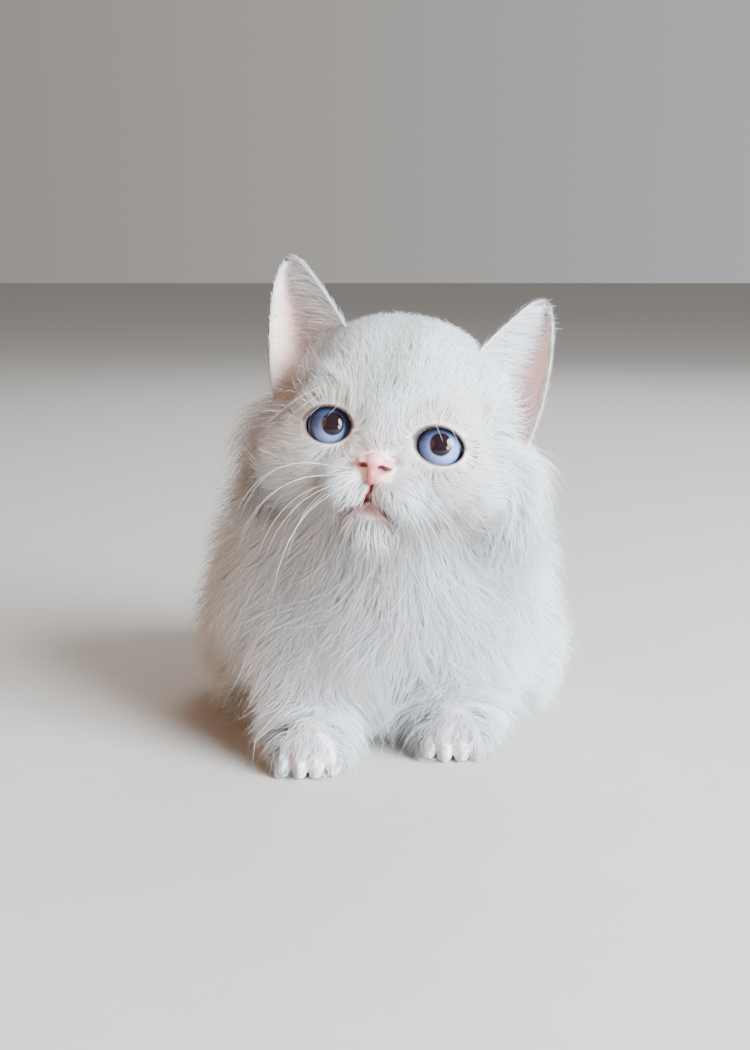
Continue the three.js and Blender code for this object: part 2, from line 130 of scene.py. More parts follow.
# From the kitten's frame to the row frame, by the middle of one eye; both have the floor at 0
eye_low, eye_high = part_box("eye_left")
eye_middle = to_body(vec(EYE_HALF_SPACING, EYE_DEPTH, 0))
SHIFT = np.array((eye_low + eye_high) / 2) * 1000 - eye_middle
SHIFT[2] = 0


def metres(p):
    return (np.asarray(p) + SHIFT) * 0.001


def unit(v):
    return v / np.maximum(np.linalg.norm(v, axis=-1, keepdims=True), 1e-9)


# Distance functions: negative inside
def ellipsoid(p, at, radii):
    radii = np.asarray(radii, np.float32)
    q = (p - np.asarray(at, np.float32)) / radii
    reach = np.linalg.norm(q, axis=-1)
    steep = np.linalg.norm(q / radii, axis=-1)
    return reach * (reach - 1) / np.maximum(steep, 1e-6)


def ball(p, at, radius):
    return ellipsoid(p, at, (radius, radius, radius))


def limb(p, start, end, start_radius, end_radius):
    start = np.asarray(start, np.float32)
    axis = np.asarray(end, np.float32) - start
    along = np.clip((p - start) @ axis / (axis @ axis), 0, 1)
    foot = start + along[..., None] * axis
    radius = start_radius + (end_radius - start_radius) * along
    return np.linalg.norm(p - foot, axis=-1) - radius


def smooth_min(a, b, softness):
    """The nearer of two distances, rounded off where they are about the same."""
    overlap = np.maximum(softness - np.abs(a - b), 0) / softness
    return np.minimum(a, b) - overlap * overlap * softness / 4


def blend(softness, fields):
    total = fields[0]
    for field in fields[1:]:
        total = smooth_min(total, field, softness)
    return total


def carve(field, hole, softness):
    return -smooth_min(-field, hole, softness)


def smooth_step(low, high, x):
    t = np.clip((x - low) / (high - low), 0, 1)
    return t * t * (3 - 2 * t)


# Cores: the kitten as it would be with its coat pressed flat
def skull(q):
    return blend(9, [
        ellipsoid(q, (0, 31, 6), (40, 34, 37.5)),
        *[ellipsoid(q, (s * 24.5, 28, -10), (25, 25, 20)) for s in SIDES],
        ellipsoid(q, (0, 24, -14), (22, 24, 15)),
        limb(q, (0, 9, 10), (0, 1.5, -8.5), 8, 6.2),
        *[ellipsoid(q, (s * EYE_HALF_SPACING, 10.2, 0), (11, 9, 14)) for s in SIDES],
    ])


def muzzle(q):
    return blend(1.5, [
        *[ellipsoid(q, (s * 7.2, 2, -16.6), (8.8, 8.8, 8.2)) for s in SIDES],
        ellipsoid(q, (0, 8.6, -24.5), (8, 7.6, 5.6)),
    ])


def head_core(q):
    return blend(4, [skull(q), muzzle(q)])


def trunk_core(p):
    return blend(14, [
        limb(p, (0, -14, 94), (0, -12, 66), 33, 40),
        ellipsoid(p, (0, -12, 52), (38, 32, 40)),
        *[ellipsoid(p, (s * SHOULDER_X, -4, 60), (29, 28, 33)) for s in SIDES],
        ellipsoid(p, (0, 22, 46), (46, 42, 44)),
        ellipsoid(p, (0, 40, 32), (44, 28, 34)),
        ellipsoid(p, (1, -36, 78), (30, 20, 20)),
    ])


def haunch_core(p, side):
    return blend(8, [
        ellipsoid(p, (side * HAUNCH_X, 20, 26), (22, 31, 29)),
        ellipsoid(p, (side * (HAUNCH_X - 4), 34, 18), (22, 26, 20)),
    ])


def hind_foot_core(p, side):
    x = side * HIND_FOOT_X
    return blend(3, [
        limb(p, (x, 32, 6), (x, -4, 5), 8, 8),
        *[ellipsoid(p, (x + k * HIND_TOE_STEP, -10 + abs(k) * 1.6, 3), (3.5, 5, 5))
          for k in TOES],
    ])


def fore_leg_core(p, side):
    x, y, _ = PAWS[side]
    return limb(p, (x, y + 26, 44), (x, y + 8, 10), 17, 11)


def fore_paw_core(p, side):
    x, y, _ = PAWS[side]
    return blend(0.9, [
        ellipsoid(p, (x, y + 0.5, 6.6), (PAW_HALF_WIDTH, 11.5, 8.2)),
        *[ellipsoid(p, (x + k * TOE_STEP, y - 8.6 + abs(k) * 2, 3.4), (3.8, 5, 6.2))
          for k in TOES],
    ])


# A distance that is more than any crease or gap matters at
FAR = 9.0


def toe_gaps(p):
    """Distance from the three gaps between the toes of either forepaw."""
    reach = np.full(p.shape[:-1], FAR)
    for x, y, _ in PAWS.values():
        for k in (-1, 0, 1):
            brow = (x + k * TOE_STEP, y - 12.4 + abs(k) * 1.4, 5.5)
            for end in ((brow[0], brow[1], 0), (x + k * 5, y - 6, 10)):
                reach = np.minimum(reach, limb(p, brow, end, 0.3, 0.3))
    return reach


def tail_points(count):
    """Points on a smooth curve through the tail's path."""
    before, after = 2 * TAIL_PATH[0] - TAIL_PATH[1], 2 * TAIL_PATH[-1] - TAIL_PATH[-2]
    pts = np.vstack([before, TAIL_PATH, after])
    out = []
    for t in np.linspace(0, len(TAIL_PATH) - 1, count):
        k = min(int(t), len(TAIL_PATH) - 2)
        u = t - k
        a, b, c, d = pts[k:k + 4]
        out.append(0.5 * (2 * b + (c - a) * u + (2 * a - 5 * b + 4 * c - d) * u * u
                          + (3 * b - a - 3 * c + d) * u ** 3))
    return np.array(out, np.float32)


TAIL = tail_points(11)


def tail_core(p):
    radii = TAIL_RADIUS * (1 - 0.35 * np.linspace(0, 1, len(TAIL)) ** 2)
    lengths = range(len(TAIL) - 1)
    return blend(2, [limb(p, TAIL[k], TAIL[k + 1], radii[k], radii[k + 1]) for k in lengths])


# Creases of the face
def mouth_line(q):
    """Distance from the mouth's crease, as seen from in front."""
    flat = q * vec(1, 0, 1)
    flat = np.stack([np.abs(flat[..., 0]), flat[..., 1], flat[..., 2]], axis=-1)
    points = [vec(7.4 * t, 0, -19.8 - 5.6 * t ** 1.35) for t in np.linspace(0, 1, 6)]
    return np.min([limb(flat, *ends, 0.9, 0.75) for ends in zip(points, points[1:])], axis=0)


def philtrum_line(q):
    return limb(q * vec(1, 0, 1), (0, 0, -13), (0, 0, -19.8), 0.35, 0.45)


def mouth_creases(q):
    return np.minimum(mouth_line(q), philtrum_line(q))


def beside_mouth(q):
    """1 at the mouth's creases and beside the nose, fading to 0 over a few millimetres."""
    return (1 - smooth_step(0.6, 2.6, mouth_creases(q))) * (q[..., 1] < 8) * (q[..., 2] > -27.5)


# Regions of the coat: how deep the skin lies under the core, how high the tips stand over the
# skin, and over how many millimetres a region gives way to the next. Those of the head vary.
REGIONS = ("head", "trunk", "haunch", "fore_leg", "fore_paw", "hind_foot", "tail")
DEPTHS = dict(trunk=9.0, haunch=8.0, fore_leg=4.0, fore_paw=1.2, hind_foot=1.5, tail=4.0)
HEIGHTS = dict(trunk=21.0, haunch=20.0, fore_leg=9.5, fore_paw=1.7, hind_foot=3.2, tail=10.0)
REACHES = np.array([8.0, 8.0, 8.0, 6.0, 3.0, 3.0, 5.0])
PAW_TOP_HEIGHT = 3.4


def head_depth(q):
    back = smooth_step(3, 24, q[..., 1])
    low = 1 - smooth_step(10, 30, q[..., 2])
    return 1.2 + back * (3.2 + 5 * low)


def head_height(q):
    back = smooth_step(4, 26, q[..., 1])
    low = 1 - smooth_step(8, 28, q[..., 2])
    muzzle_near = np.exp(-((q[..., 0] / 11) ** 2 + ((q[..., 2] + 17) / 10) ** 2))
    chin = np.exp(-((q[..., 0] / 9) ** 2 + ((q[..., 2] + 30) / 5) ** 2))
    height = 2.0 + 3.0 * back + 12 * back * low - 0.9 * muzzle_near + 4 * chin
    return height * (1 - 0.7 * beside_mouth(q))


def either(core, p):
    return np.minimum(core(p, -1), core(p, 1))


def region_distances(p):
    q = to_head(p)
    return np.stack([
        head_core(q) + head_depth(q),
        trunk_core(p) + DEPTHS["trunk"],
        either(haunch_core, p) + DEPTHS["haunch"],
        either(fore_leg_core, p) + DEPTHS["fore_leg"],
        either(fore_paw_core, p) + DEPTHS["fore_paw"],
        either(hind_foot_core, p) + DEPTHS["hind_foot"],
        tail_core(p) + DEPTHS["tail"],
    ])


def region_weights(p):
    """Each region's share of the coat at a place."""
    distances = region_distances(p)
    near = np.exp(-(distances - distances.min(axis=0)) / REACHES[:, None])
    return near / near.sum(axis=0)


def coat_height(p):
    q = to_head(p)
    own = np.stack([head_height(q)] + [np.full(len(p), HEIGHTS[name]) for name in REGIONS[1:]])
    own[REGIONS.index("fore_paw")] += PAW_TOP_HEIGHT * smooth_step(7.5, 13, p[..., 2])
    toes = 1 - smooth_step(1.5, 4, toe_gaps(p))
    return (region_weights(p) * own).sum(axis=0) * (1 - 0.6 * toes)


def body_skin(p):
    head, trunk, haunch, leg, paw, foot, tail = region_distances(p)
    return blend(3, [blend(12, [blend(18, [head, trunk]), haunch, leg]), paw, foot, tail])


def eye_centre(side):
    return vec(side * EYE_HALF_SPACING, EYE_DEPTH, 0)


def eye_slit(q, side):
    """Distance from the almond between the lids, in the plane of the face."""
    tilt = math.radians(EYE_SLANT) * side
    dx = q[..., 0] - side * (EYE_HALF_SPACING + 0.3)
    dz = q[..., 2]
    u = dx * math.cos(tilt) - dz * math.sin(tilt)
    w = dx * math.sin(tilt) + dz * math.cos(tilt)
    half_width, half_height = EYE_SLIT_HALF
    return (np.sqrt((u / half_width) ** 2 + ((w + 0.1) / half_height) ** 2) - 1) * half_height


def furred_skin(p):
    """The skin with closed lids bulging over the eyes, which the hairs grow on."""
    q = to_head(p)
    field = body_skin(p)
    for side in SIDES:
        field = smooth_min(field, ball(q, eye_centre(side), LID_RADIUS), 3)
    return field


def skin_field(p):
    """The skin with its lids open round the sockets and its mouth's creases cut 1.5 mm deep."""
    q = to_head(p)
    field = furred_skin(p)
    for side in SIDES:
        opening = np.maximum(eye_slit(q, side), q[..., 1] - 7)
        field = carve(field, opening, 0.6)
        field = carve(field, ball(q, eye_centre(side), SOCKET_RADIUS), 0.3)
    groove = np.maximum(mouth_creases(q), -1.5 - field)
    return carve(field, np.where(q[..., 1] < 8, groove, FAR), 0.8)


def slope(field, p, step=0.4):
    """The way out of a field's surface."""
    base = np.eye(3, dtype=np.float32) * step
    return unit(np.stack([field(p + base[k]) - field(p - base[k]) for k in range(3)], axis=-1))


def surface(field, xs, ys, zs):
    """Points and four-sided faces of a field's surface, one point in each cell it crosses."""
    shape = (len(xs), len(ys), len(zs))
    grid = np.stack(np.meshgrid(xs, ys, zs, indexing="ij"), axis=-1).astype(np.float32)
    values = np.concatenate([field(slab) for slab in grid]).reshape(shape)
    inside = values < 0
    corner = [(a, b, c) for a in (0, 1) for b in (0, 1) for c in (0, 1)]
    cells = tuple(n - 1 for n in shape)
    count = sum(inside[tuple(slice(k, k + n) for k, n in zip(o, cells))].astype(np.int8)
                for o in corner)
    crossed = (count > 0) & (count < 8)
    found = np.argwhere(crossed)
    index = np.full(cells, -1, np.int64)
    index[crossed] = np.arange(len(found))
    total = np.zeros((len(found), 3))
    hits = np.zeros(len(found))
    for a in corner:
        for b in corner:
            if sum(x != y for x, y in zip(a, b)) == 1 and a < b:
                ia, ib = found + a, found + b
                va, vb = values[tuple(ia.T)], values[tuple(ib.T)]
                cut = (va < 0) != (vb < 0)
                share = np.where(cut, va / np.where(cut, va - vb, 1), 0)
                pa, pb = grid[tuple(ia.T)], grid[tuple(ib.T)]
                total += np.where(cut[:, None], pa + (pb - pa) * share[:, None], 0)
                hits += cut
    verts = (total / hits[:, None]).astype(np.float32)
    for _ in range(2):
        verts = verts - slope(field, verts) * field(verts)[:, None]
    faces = []
    for axis in range(3):
        step = np.zeros(3, int)
        step[axis] = 1
        u, v = [k for k in range(3) if k != axis]
        first = inside[tuple(slice(0, n - s) for n, s in zip(shape, step))]
        second = inside[tuple(slice(s, n) for n, s in zip(shape, step))]
        for kind, flip in ((first & ~second, axis == 1), (~first & second, axis != 1)):
            edge = np.argwhere(kind)
            edge = edge[(edge[:, u] > 0) & (edge[:, v] > 0)
                        & (edge[:, u] < cells[u]) & (edge[:, v] < cells[v])]
            around = []
            for du, dv in ((0, 0), (-1, 0), (-1, -1), (0, -1)):
                near = edge.copy()
                near[:, u] += du
                near[:, v] += dv
                around.append(index[tuple(near.T)])
            quad = np.stack(around, axis=-1)
            faces.append(quad[:, ::-1] if flip else quad)
    faces = np.vstack(faces)
    return verts, faces[(faces >= 0).all(axis=1)]


def spaced(*stops):
    """Grid lines from runs of (end, spacing), starting at the first stop."""
    lines = [stops[0]]
    for end, spacing in stops[1:]:
        steps = max(1, round((end - lines[-1]) / spacing))
        lines.extend(np.linspace(lines[-1], end, steps + 1)[1:])
    return np.array(lines, np.float32)


# Meshes
def paint(mesh, colours):
    layer = mesh.color_attributes.new("Tint", "FLOAT_COLOR", "POINT")
    rgba = np.ones((len(colours), 4), np.float32)
    rgba[:, :3] = colours
    layer.data.foreach_set("color", rgba.ravel())


def add_object(name, data, material=None):
    if material:
        data.materials.append(material)
    obj = bpy.data.objects.new(name, data)
    bpy.context.collection.objects.link(obj)
    return obj


def mesh_object(name, verts, faces, material, colours):
    """A mesh from points in millimetres and faces of one size."""
    faces = np.asarray(faces)
    mesh = bpy.data.meshes.new(name)
    mesh.vertices.add(len(verts))
    mesh.vertices.foreach_set("co", metres(verts).astype(np.float32).ravel())
    corners = faces.shape[1]
    mesh.loops.add(faces.size)
    mesh.loops.foreach_set("vertex_index", faces.astype(np.int32).ravel())
    mesh.polygons.add(len(faces))
    mesh.polygons.foreach_set("loop_start", np.arange(0, faces.size, corners, dtype=np.int32))
    mesh.polygons.foreach_set("loop_total", np.full(len(faces), corners, np.int32))
    mesh.polygons.foreach_set("use_smooth", np.full(len(faces), True))
    mesh.update(calc_edges=True)
    paint(mesh, colours)
    return add_object(name, mesh, material)


# Materials
def new_material(name):
    material = bpy.data.materials.new(name)
    material.use_nodes = True
    material.node_tree.nodes.clear()
    return material, material.node_tree


def node(tree, kind, inputs, **settings):
    """A shader node. An input is a constant or another node's output to link."""
    made = tree.nodes.new("ShaderNode" + kind)
    for key, value in settings.items():
        setattr(made, key, value)
    for key, value in inputs.items():
        if isinstance(value, bpy.types.NodeSocket):
            tree.links.new(value, made.inputs[key])
        else:
            made.inputs[key].default_value = value
    return made


def tint(tree):
    return node(tree, "Attribute", {}, attribute_name="Tint").outputs["Color"]


def object_place(tree):
    return node(tree, "TexCoord", {}).outputs["Object"]


def noise(tree, scale, detail=3.0):
    inputs = {"Vector": object_place(tree), "Scale": scale, "Detail": detail}
    return node(tree, "TexNoise", inputs).outputs["Fac"]


# The numbers of a mix node's sockets for colours
MIX_FACTOR, MIX_A, MIX_B, MIX_RESULT = 0, 6, 7, 2


def multiplied(tree, first, second, amount=1.0):
    inputs = {MIX_FACTOR: amount, MIX_A: first, MIX_B: second}
    mix = node(tree, "Mix", inputs, data_type="RGBA", blend_type="MULTIPLY")
    return mix.outputs[MIX_RESULT]


def ramp(tree, value, stops):
    made = node(tree, "ValToRGB", {"Fac": value})
    elements = made.color_ramp.elements
    while len(elements) < len(stops):
        elements.new(0.5)
    for element, (position, colour) in zip(elements, stops):
        element.position = position
        element.color = (*colour, 1)
    return made.outputs["Color"]


def grey(level):
    return (level, level, level)


def grain(tree, value, darkest):
    """Patches of a noise from full brightness down to the darkest."""
    return ramp(tree, value, [(0.3, grey(darkest)), (0.7, grey(1.0))])


def bump(tree, height, strength, distance):
    inputs = {"Strength": strength, "Distance": distance, "Height": height}
    return node(tree, "Bump", inputs).outputs["Normal"]


def output(tree, shader):
    node(tree, "OutputMaterial", {"Surface": shader.outputs[0]})


def coat_material():
    """Nearly half of the light that falls on a strand is scattered through it."""
    material, tree = new_material("coat")
    speckle = grain(tree, noise(tree, 900), 0.97)
    colour = multiplied(tree, tint(tree), speckle)
    shader = node(tree, "BsdfPrincipled", {
        "Base Color": colour, "Roughness": 0.55, "Specular IOR Level": 0.25})
    glow = node(tree, "BsdfTranslucent", {"Color": colour})
    shaders = {0: 0.45, 1: shader.outputs[0], 2: glow.outputs[0]}
    output(tree, node(tree, "MixShader", shaders))
    return material


def skin_material():
    material, tree = new_material("skin")
    mottle = grain(tree, noise(tree, 260, 5.0), 0.9)
    output(tree, node(tree, "BsdfPrincipled", {
        "Base Color": multiplied(tree, tint(tree), mottle),
        "Roughness": 0.6,
        "Subsurface Weight": 0.25,
        "Subsurface Radius": (1.0, 0.5, 0.35),
        "Subsurface Scale": 0.002,
        "Normal": bump(tree, noise(tree, 1400, 4.0), 0.35, 0.0004),
    }))
    return material


def leather_material():
    material, tree = new_material("nose_leather")
    cells = node(tree, "TexVoronoi", {"Vector": object_place(tree), "Scale": 1900})
    pebble = cells.outputs["Distance"]
    shade = ramp(tree, pebble, [(0.0, grey(1.0)), (1.0, grey(0.86))])
    output(tree, node(tree, "BsdfPrincipled", {
        "Base Color": multiplied(tree, tint(tree), shade),
        "Roughness": 0.42,
        "Subsurface Weight": 0.2,
        "Subsurface Radius": (1.0, 0.4, 0.3),
        "Subsurface Scale": 0.0006,
        "Normal": bump(tree, pebble, 0.5, 0.0003),
    }))
    return material


def eye_material():
    """A dull iris under a wet clear coat, so that only the coat mirrors the lights."""
    material, tree = new_material("iris")
    fibres = grain(tree, noise(tree, 1500, 4.0), 0.78)
    output(tree, node(tree, "BsdfPrincipled", {
        "Base Color": multiplied(tree, tint(tree), fibres, 0.6),
        "Roughness": 0.3,
        "Specular IOR Level": 0.0,
        "Coat Weight": 1.0,
        "Coat Roughness": 0.02,
        "Coat IOR": 1.38,
    }))
    return material


def floor_material():
    material, tree = new_material("floor")
    colour = multiplied(tree, (*FLOOR_COLOUR, 1), grain(tree, noise(tree, 60), 0.97))
    output(tree, node(tree, "BsdfPrincipled", {"Base Color": colour, "Roughness": 0.8}))
    return material


# Markings, the same for skin and coat
WHITE = vec(0.978, 0.974, 0.968)
CREAM = vec(0.95, 0.88, 0.74)
SMUDGE = vec(0.56, 0.63, 0.54)
NOSE_BLUSH = vec(0.95, 0.7, 0.66)
MOUTH_BLUSH = vec(0.75, 0.5, 0.5)
# The toe gaps: pink skin, made deeper with painted shade where the toes meet
TOE_GAP_SHADED_PINK = vec(0.72, 0.44, 0.41)
# Bare skin
SKIN_PINK = vec(0.86, 0.62, 0.56)
LIP = vec(0.4, 0.11, 0.11)
LOWER_LIP = vec(0.4, 0.18, 0.19)
LID = vec(0.07, 0.04, 0.04)
LID_PINK = vec(0.7, 0.42, 0.38)
EAR_EDGE = vec(0.93, 0.8, 0.76)
EAR_CENTRE = vec(0.85, 0.52, 0.45)
# No colour of a strand is brighter than this
BRIGHTEST = 0.97


def mixed(a, b, amount):
    return a + (b - a) * np.asarray(amount)[..., None]


def coat_colour(p):
    """White, with a faint mark on the forehead, cream round the eyes, pink at bare places, and
    pink with painted shade in the gaps between the toes.
    """
    q = to_head(p)
    x, y, z = np.moveaxis(q, -1, 0)
    front = 1 - smooth_step(20, 34, y)
    colour = np.broadcast_to(WHITE, p.shape)
    streak = np.exp(-(x / 5) ** 2) * smooth_step(4, 14, z) * front
    colour = mixed(colour, SMUDGE, 0.8 * streak)
    nose_near = np.linalg.norm((q - NOSE_AT) / vec(7.5, 9, 6), axis=-1)
    colour = mixed(colour, NOSE_BLUSH, 0.7 * (1 - smooth_step(0.7, 1.35, nose_near)))
    for side in SIDES:
        ring = np.exp(-(eye_slit(q, side) / 3.4) ** 2) * front * (y < 14)
        colour = mixed(colour, CREAM, 0.6 * ring)
    colour = mixed(colour, MOUTH_BLUSH, 0.5 * beside_mouth(q))
    # pink skin with painted shade in the gaps between the toes
    return mixed(colour, TOE_GAP_SHADED_PINK, 0.7 * (1 - smooth_step(0.3, 1.5, toe_gaps(p))))


def skin_colour(p):
    q = to_head(p)
    x, y, z = np.moveaxis(q, -1, 0)
    colour = mixed(coat_colour(p), SKIN_PINK, 0.3 - 0.22 * smooth_step(5, 11, coat_height(p)))
    for side in SIDES:
        reach = np.maximum(eye_slit(q, side), 0)
        colour = mixed(colour, LID_PINK, 0.6 * np.exp(-(reach / 1.3) ** 2) * (y < 9))
        liner = np.where(z > 0, 1.15, 0.65)
        colour = mixed(colour, LID, np.exp(-(reach / liner) ** 4) * (y < 9))
    lower_lip = np.exp(-((x / 5.5) ** 4 + ((z + 23.4) / 2.6) ** 4)) * (y < 4)
    colour = mixed(colour, LOWER_LIP, 0.9 * lower_lip)
    crease = np.exp(-(np.maximum(mouth_creases(q), 0) / 0.7) ** 2)
    return mixed(colour, LIP, 0.95 * crease * (y < 6))


coat_look = coat_material()


# Ears
def ear_leaf(side, share, across):
    """A point of an ear's cupped leaf, share of the way up and across from its inner edge."""
    mirror = np.array([side, 1, 1], np.float32)
    swell = 4 * share * (1 - share)
    rounding = EAR_ROUND * np.maximum(share, 0) ** 4 * np.sqrt(np.maximum(1 - share, 0))
    tip = EAR_TIPS[side]
    outward = unit((EAR_OUTER_ROOT - EAR_INNER_ROOT) * mirror)
    edges = []
    for root, bow, way in ((EAR_INNER_ROOT, vec(-1, 0, 2.2), -1),
                           (EAR_OUTER_ROOT, vec(3.4, 0, 0.5), 1)):
        root = root * mirror
        edges.append(root + (tip - root) * share[..., None] + bow * mirror * swell[..., None]
                     + outward * way * rounding[..., None])
    inner, outer = edges
    width = np.linalg.norm(inner - outer, axis=-1)
    bulge = width * EAR_CUP * 4 * across * (1 - across)
    cup = vec(-side * 0.25, 1, 0.1) * bulge[..., None]
    return inner + (outer - inner) * across[..., None] + cup


def ear_ways(side, share, across, step):
    """Up along an ear's leaf and over it, away from its inner edge."""
    up = ear_leaf(side, share + step, across) - ear_leaf(side, share - step, across)
    over = ear_leaf(side, share, across + step) - ear_leaf(side, share, across - step)
    return up, over


def ear_normal(side, share, across):
    """Outward from the ear's back."""
    up, over = ear_ways(side, share, across, 0.01)
    return unit(np.cross(up, over)) * side


def ear_skin(side):
    """A thin closed leaf: white on its back, pink in its cup, sharp at its rim."""
    rows, columns = 30, 24
    share, across = np.meshgrid(np.linspace(-0.1, EAR_TIP_SHARE, rows),
                                np.linspace(0, 1, columns), indexing="ij")
    share, across = share.astype(np.float32), across.astype(np.float32)
    middle = ear_leaf(side, share, across)
    normal = ear_normal(side, share, across)
    rim = np.minimum(np.minimum(across, 1 - across) * 8, (EAR_TIP_SHARE - share) * 10)
    half = EAR_SKIN_THICKNESS * 0.5 * np.sqrt(np.clip(rim, 0.02, 1))[..., None]
    back = (middle + normal * half).reshape(-1, 3)
    front = (middle - normal * half).reshape(-1, 3)
    number = np.arange(rows * columns).reshape(rows, columns)
    faces = []
    total = rows * columns
    for r in range(rows - 1):
        for c in range(columns - 1):
            a, b, d, e = number[r, c], number[r, c + 1], number[r + 1, c + 1], number[r + 1, c]
            faces.append((a, b, d, e))
            faces.append((e + total, d + total, b + total, a + total))
    ring = [*number[0], *number[1:, -1], *number[-1, -2::-1], *number[-2:0:-1, 0]]
    for a, b in zip(ring, ring[1:] + ring[:1]):
        faces.append((b, a, a + total, b + total))
    faces = np.array(faces)
    verts = to_body(np.vstack([back, front]))
    if side > 0:
        faces = faces[:, ::-1]
    deep = smooth_step(0.1, 0.65, across) * (1 - 0.5 * smooth_step(0.5, 1, share))
    pale = np.broadcast_to(mixed(WHITE, SKIN_PINK, np.float32(0.4)), back.shape)
    return verts, faces, np.vstack([pale, mixed(EAR_EDGE, EAR_CENTRE, deep.ravel())])


# The skin, on grid lines that are closest together round the face; it ends just over the floor
FINE, MIDDLING, COARSE = 0.55, 1.2, 2.2
SKIN_BOTTOM = 0.3


def standing_skin(p):
    return np.maximum(skin_field(p), SKIN_BOTTOM - p[..., 2])


skin_verts, skin_faces = surface(
    standing_skin,
    spaced(-74, (-28, COARSE), (28, FINE), (74, COARSE)),
    spaced(-76, (-46, FINE), (110, COARSE)),
    spaced(-3, (12, MIDDLING), (86, COARSE), (128, FINE), (160, COARSE)),
)
all_verts, all_faces, all_colours = [skin_verts], [skin_faces], [skin_colour(skin_verts)]
for ear_side in SIDES:
    ear_verts, ear_faces, ear_colours = ear_skin(ear_side)
    all_faces.append(ear_faces + sum(len(v) for v in all_verts))
    all_verts.append(ear_verts)
    all_colours.append(ear_colours)
skin = mesh_object("skin", np.vstack(all_verts), np.vstack(all_faces), skin_material(),
                   np.vstack(all_colours))
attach(skin, "root")
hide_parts("head", "neck", "torso", "ear_right", "ear_left", "haunch_right", "haunch_left",
            "foreleg_right", "foreleg_left", "forepaw_right", "forepaw_left",
            "hindfoot_right", "hindfoot_left", "tail_base", "tail_tip")


# Nose
NOSE_PINK = vec(0.8, 0.37, 0.34)
NOSE_LOW_PINK = vec(0.6, 0.15, 0.15)
# Painted shade: the nostrils are painted nearly black, darkest at their inner ends, for the
# shade that falls in them
NOSTRIL_SHADE = vec(0.1, 0.012, 0.012)


def nose_field(p):
    q = to_head(p)
    body = blend(1.2, [
        ellipsoid(q, NOSE_AT + vec(0, 0, 0.6), (3.5, 3.5, 3.1)),
        ellipsoid(q, NOSE_AT + vec(0, 0.3, -3.2), (1.9, 2.9, 3.2)),
        *[ellipsoid(q, NOSE_AT + vec(s * 3.6, 0.6, 0.1), (2.6, 2.9, 1.9)) for s in SIDES],
    ])
    for s in SIDES:
        hole = np.minimum(ellipsoid(q, NOSE_AT + vec(s * 2.8, -3.0, -1.1), (1.1, 2.4, 0.9)),
                          ellipsoid(q, NOSE_AT + vec(s * 4.6, -2.0, -1.0), (2.4, 2.2, 0.6)))
        body = carve(body, hole, 0.5)
    crease = limb(q, NOSE_AT + vec(0, -3.9, 1), NOSE_AT + vec(0, -3.4, -6), 0.25, 0.35)
    return carve(body, crease, 0.5)


def nose_colour(p):
    q = to_head(p)
    # painted shade in the nostrils, lighter towards their outer ends
    deep = np.zeros(len(p))
    for s in SIDES:
        hole = (q - (NOSE_AT + vec(s * 3.0, -2.6, -1.0))) / vec(1.6, 2.2, 1.0)
        slit = (q - (NOSE_AT + vec(s * 4.2, -2.0, -1.0))) / vec(2.1, 3.0, 0.8)
        reach = np.minimum(np.linalg.norm(hole, axis=-1), np.linalg.norm(slit, axis=-1))
        deep = np.maximum(deep, 1 - smooth_step(0.8, 1.15, reach))
    low = 1 - smooth_step(-14, -8, q[:, 2])
    colour = mixed(NOSE_PINK, NOSE_LOW_PINK, low)
    outer = smooth_step(3, 6, np.abs(q[:, 0]))
    return mixed(colour, NOSTRIL_SHADE, deep * (1 - 0.55 * outer))


nose_lines = [spaced(middle - reach, (middle + reach, 0.3))
              for middle, reach in zip(to_body(NOSE_AT), (8.5, 7, 9.5))]
nose_verts, nose_faces = surface(nose_field, *nose_lines)
nose = mesh_object("nose_leather", nose_verts, nose_faces, leather_material(),
                   nose_colour(nose_verts))
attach(nose, "root")
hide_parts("nose")


# Eyes. Angles in degrees are measured at the ball's middle, from where the eye looks.
IRIS_ANGLE = 66
PUPIL_ANGLE = 23.5
FIBRES = 180
CORNEA_RISE = 0.03
# Heights over which the upper lid's shade sets in, lower on the side away from the window
LID_SHADE = {-1: (-5.2, 2.4), 1: (-0.6, 4.2)}
GAZE_AT = CAMERA_AT + vec(0, 0, 60)
IRIS_BLUE = vec(0.15, 0.21, 0.42)
# Painted light: the lower part of the iris is painted lighter, where the light falls on it
IRIS_LIT = vec(0.25, 0.33, 0.64)
IRIS_SHADE = vec(0.03, 0.042, 0.09)
IRIS_EDGE = vec(0.03, 0.04, 0.09)
PUPIL_DARK = vec(0.012, 0.005, 0.007)
EYE_WHITE = vec(0.5, 0.42, 0.42)


def eye_ball(gaze, right, up):
    """A ball round the origin with a slightly raised cornea: points and faces."""
    rows, columns = 71, 96
    angles = np.linspace(0, math.pi, rows + 2)[1:-1]
    around = np.arange(columns) * 2 * math.pi / columns
    tilt, spin = np.meshgrid(angles, around, indexing="ij")
    dome = 1 + CORNEA_RISE * np.exp(-(np.degrees(tilt) / 38) ** 4)
    direction = (np.cos(tilt)[..., None] * gaze
                 + (np.sin(tilt) * np.cos(spin))[..., None] * right
                 + (np.sin(tilt) * np.sin(spin))[..., None] * up)
    rings = direction * (EYE_RADIUS * dome)[..., None]
    verts = np.vstack([gaze * EYE_RADIUS * (1 + CORNEA_RISE), rings.reshape(-1, 3),
                       -gaze * EYE_RADIUS])
    last, base = len(verts) - 1, 1 + (rows - 1) * columns
    faces = []
    for c in range(columns):
        d = (c + 1) % columns
        faces.extend([(0, 1 + d, 1 + c), (last, base + c, base + d)])
        for start in range(1, base, columns):
            faces.append((start + c, start + d, start + d + columns, start + c + columns))
    return verts, faces


